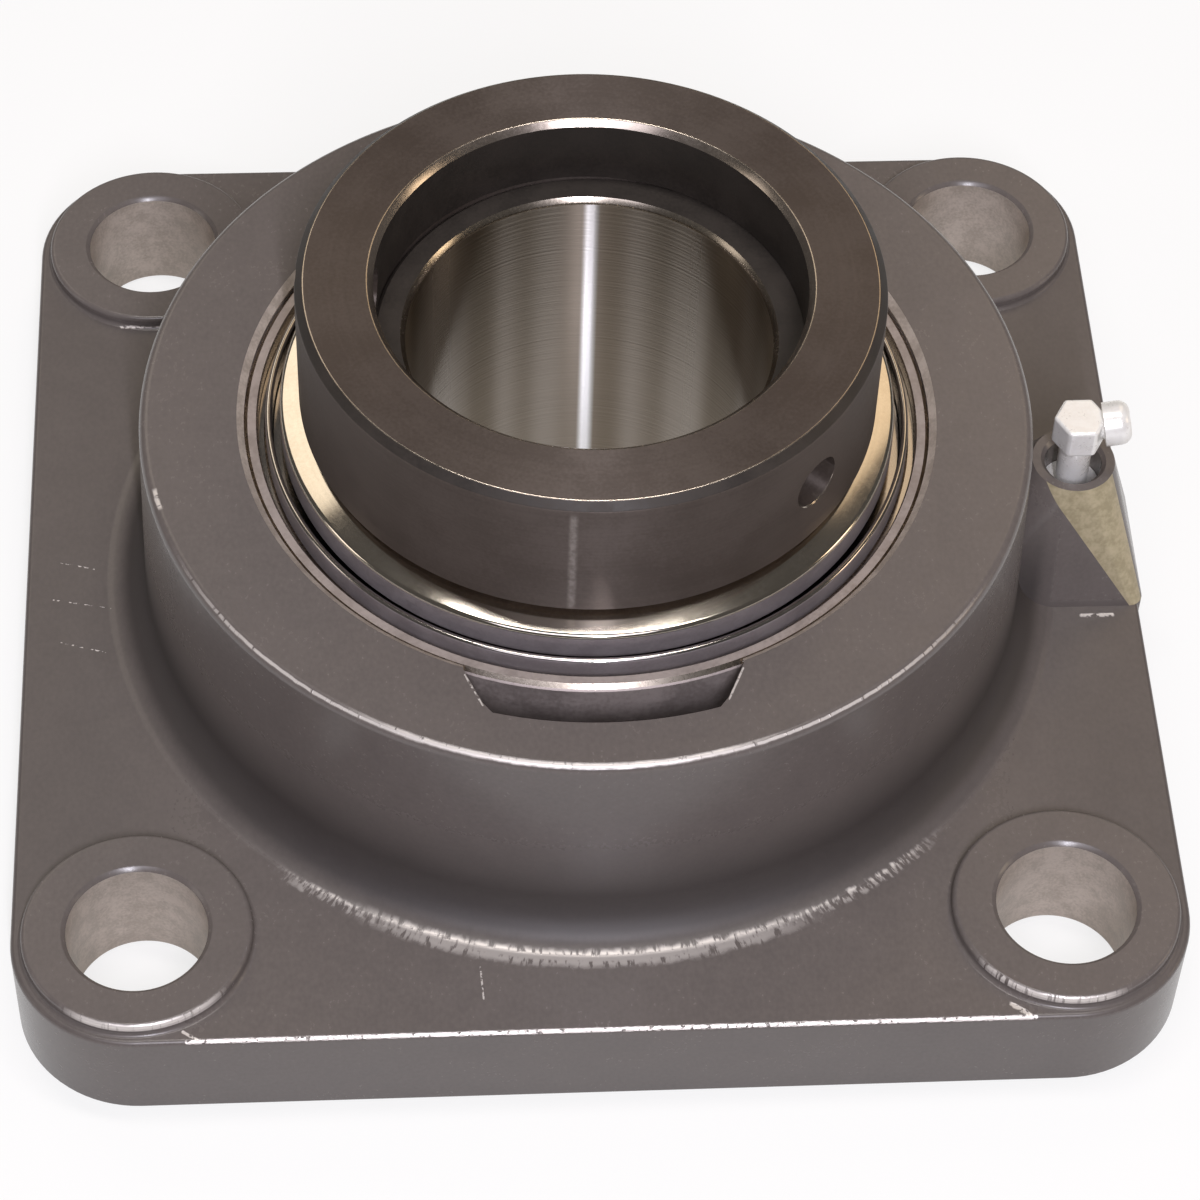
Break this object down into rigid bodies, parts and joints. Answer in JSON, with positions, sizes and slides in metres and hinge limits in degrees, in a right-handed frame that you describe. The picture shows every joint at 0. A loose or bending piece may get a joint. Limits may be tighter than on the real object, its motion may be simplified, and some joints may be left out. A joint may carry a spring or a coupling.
{
  "type": "four-bolt flange bearing",
  "caption": "Square flange housing with bolt holes, carrying a self-aligning ball bearing insert with an eccentric locking collar.",
  "frame": {"origin": "centre of the mounting face, on the shaft axis", "axes": "+Z along the shaft from the mounting face to the locking collar, +X towards the grease lug"},
  "size_m": [0.1175, 0.117, 0.0557],
  "materials": {
    "housing": "painted grey-brown iron casting, satin, with fine sand grain",
    "grease_fitting": "zinc-plated turned steel",
    "check_ball": "polished steel",
    "check_spring": "drawn spring wire",
    "outer_ring": "ground bearing steel",
    "front_seal_retainer": "pressed steel sheet",
    "rear_seal_retainer": "pressed steel sheet",
    "front_seal_lip": "moulded nitrile rubber",
    "rear_seal_lip": "moulded nitrile rubber",
    "inner_ring": "ground bearing steel, honed bore",
    "front_flinger": "pressed steel sheet, bright",
    "rear_flinger": "pressed steel sheet, bright",
    "front_cage_half": "pressed steel strip",
    "rear_cage_half": "pressed steel strip",
    "cage_rivets": "headed steel rivets",
    "locking_collar": "turned steel with black oxide",
    "set_screw": "black oxide alloy steel",
    "ball_1": "lapped bearing steel",
    "ball_2": "lapped bearing steel",
    "ball_3": "lapped bearing steel",
    "ball_4": "lapped bearing steel",
    "ball_5": "lapped bearing steel",
    "ball_6": "lapped bearing steel",
    "ball_7": "lapped bearing steel",
    "ball_8": "lapped bearing steel",
    "ball_9": "lapped bearing steel"
  },
  "bodies": {
    "housing": {"housing": "housing", "grease_fitting": "grease_fitting", "check_spring": "check_spring"},
    "check_ball": {"check_ball": "check_ball"},
    "outer_ring": {"outer_ring": "outer_ring", "front_seal_retainer": "front_seal_retainer", "front_seal_lip": "front_seal_lip", "rear_seal_retainer": "rear_seal_retainer", "rear_seal_lip": "rear_seal_lip"},
    "inner_ring": {"inner_ring": "inner_ring", "front_flinger": "front_flinger", "rear_flinger": "rear_flinger"},
    "cage": {"front_cage_half": "front_cage_half", "rear_cage_half": "rear_cage_half", "cage_rivets": "cage_rivets"},
    "ball_1": {"ball_1": "ball_1"},
    "ball_2": {"ball_2": "ball_2"},
    "ball_3": {"ball_3": "ball_3"},
    "ball_4": {"ball_4": "ball_4"},
    "ball_5": {"ball_5": "ball_5"},
    "ball_6": {"ball_6": "ball_6"},
    "ball_7": {"ball_7": "ball_7"},
    "ball_8": {"ball_8": "ball_8"},
    "ball_9": {"ball_9": "ball_9"},
    "locking_collar": {"locking_collar": "locking_collar"},
    "set_screw": {"set_screw": "set_screw"}
  },
  "joints": [
    {"name": "alignment_tilt", "type": "hinge", "parent": "housing", "child": "outer_ring", "pos_m": [0, 0, 0.026], "axis": [0, 1, 0], "range_deg": [-3, 3]},
    {"name": "inner_spin", "type": "hinge", "parent": "outer_ring", "child": "inner_ring", "pos_m": [0, 0, 0.026], "axis": [0, 0, 1], "continuous": true},
    {"name": "cage_spin", "type": "hinge", "parent": "outer_ring", "child": "cage", "pos_m": [0, 0, 0.026], "axis": [0, 0, 1], "continuous": true},
    {"name": "collar_turn", "type": "hinge", "parent": "inner_ring", "child": "locking_collar", "pos_m": [0, 0, 0.048], "axis": [0, 0, 1], "range_deg": [-16, 16]},
    {"name": "set_screw_travel", "type": "slide", "parent": "locking_collar", "child": "set_screw", "axis": [0.9979, -0.0645, 0], "range_m": [-0.001, 0.0035]},
    {"name": "check_ball_travel", "type": "slide", "parent": "housing", "child": "check_ball", "axis": [-0.9397, 0, -0.342], "range_m": [0, 0.0004], "stiffness_N_per_m": 150, "springref_m": -0.001, "deforming": ["check_spring"]},
    {"name": "ball_1_spin", "type": "hinge", "parent": "cage", "child": "ball_1", "pos_m": [0, 0.02675, 0.026], "axis": [0, 0, 1], "continuous": true},
    {"name": "ball_2_spin", "type": "hinge", "parent": "cage", "child": "ball_2", "pos_m": [-0.01719, 0.02049, 0.026], "axis": [0, 0, 1], "continuous": true},
    {"name": "ball_3_spin", "type": "hinge", "parent": "cage", "child": "ball_3", "pos_m": [-0.02634, 0.00464, 0.026], "axis": [0, 0, 1], "continuous": true},
    {"name": "ball_4_spin", "type": "hinge", "parent": "cage", "child": "ball_4", "pos_m": [-0.02317, -0.01337, 0.026], "axis": [0, 0, 1], "continuous": true},
    {"name": "ball_5_spin", "type": "hinge", "parent": "cage", "child": "ball_5", "pos_m": [-0.00915, -0.02514, 0.026], "axis": [0, 0, 1], "continuous": true},
    {"name": "ball_6_spin", "type": "hinge", "parent": "cage", "child": "ball_6", "pos_m": [0.00915, -0.02514, 0.026], "axis": [0, 0, 1], "continuous": true},
    {"name": "ball_7_spin", "type": "hinge", "parent": "cage", "child": "ball_7", "pos_m": [0.02317, -0.01337, 0.026], "axis": [0, 0, 1], "continuous": true},
    {"name": "ball_8_spin", "type": "hinge", "parent": "cage", "child": "ball_8", "pos_m": [0.02634, 0.00464, 0.026], "axis": [0, 0, 1], "continuous": true},
    {"name": "ball_9_spin", "type": "hinge", "parent": "cage", "child": "ball_9", "pos_m": [0.01719, 0.02049, 0.026], "axis": [0, 0, 1], "continuous": true}
  ],
  "couplings": [
    {"joint": "cage_spin", "follows": "inner_spin", "ratio": 0.39615},
    {"joint": "ball_1_spin", "follows": "inner_spin", "ratio": -2.3035},
    {"joint": "ball_2_spin", "follows": "inner_spin", "ratio": -2.3035},
    {"joint": "ball_3_spin", "follows": "inner_spin", "ratio": -2.3035},
    {"joint": "ball_4_spin", "follows": "inner_spin", "ratio": -2.3035},
    {"joint": "ball_5_spin", "follows": "inner_spin", "ratio": -2.3035},
    {"joint": "ball_6_spin", "follows": "inner_spin", "ratio": -2.3035},
    {"joint": "ball_7_spin", "follows": "inner_spin", "ratio": -2.3035},
    {"joint": "ball_8_spin", "follows": "inner_spin", "ratio": -2.3035},
    {"joint": "ball_9_spin", "follows": "inner_spin", "ratio": -2.3035}
  ]
}
